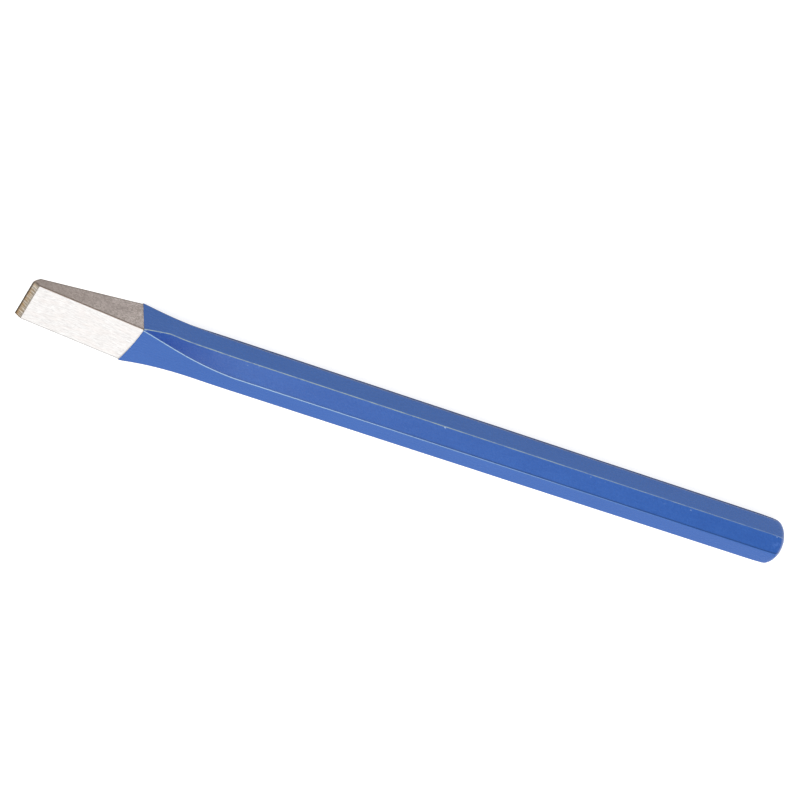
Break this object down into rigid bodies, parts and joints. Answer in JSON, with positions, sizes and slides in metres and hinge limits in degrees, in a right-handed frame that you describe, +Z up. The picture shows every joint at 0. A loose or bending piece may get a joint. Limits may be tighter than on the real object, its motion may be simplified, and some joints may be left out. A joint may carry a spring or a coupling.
{
  "type": "cold chisel",
  "caption": "Cold chisel with an octagonal lacquered shank, rounded head, flattened ground blade and a straight double-bevelled cutting edge.",
  "frame": {"origin": "on the floor under the middle of the length, with the chisel lying on a wide face", "axes": "+X from the struck head to the cutting edge, +Z up through the wide faces, Y across the blade's width"},
  "size_m": [0.3, 0.0198, 0.017],
  "materials": {
    "ground_steel": "ground",
    "blue_lacquer": "satin"
  },
  "bodies": {
    "root": {"forged_body": "ground_steel", "lacquer_coat": "blue_lacquer"}
  },
  "joints": []
}
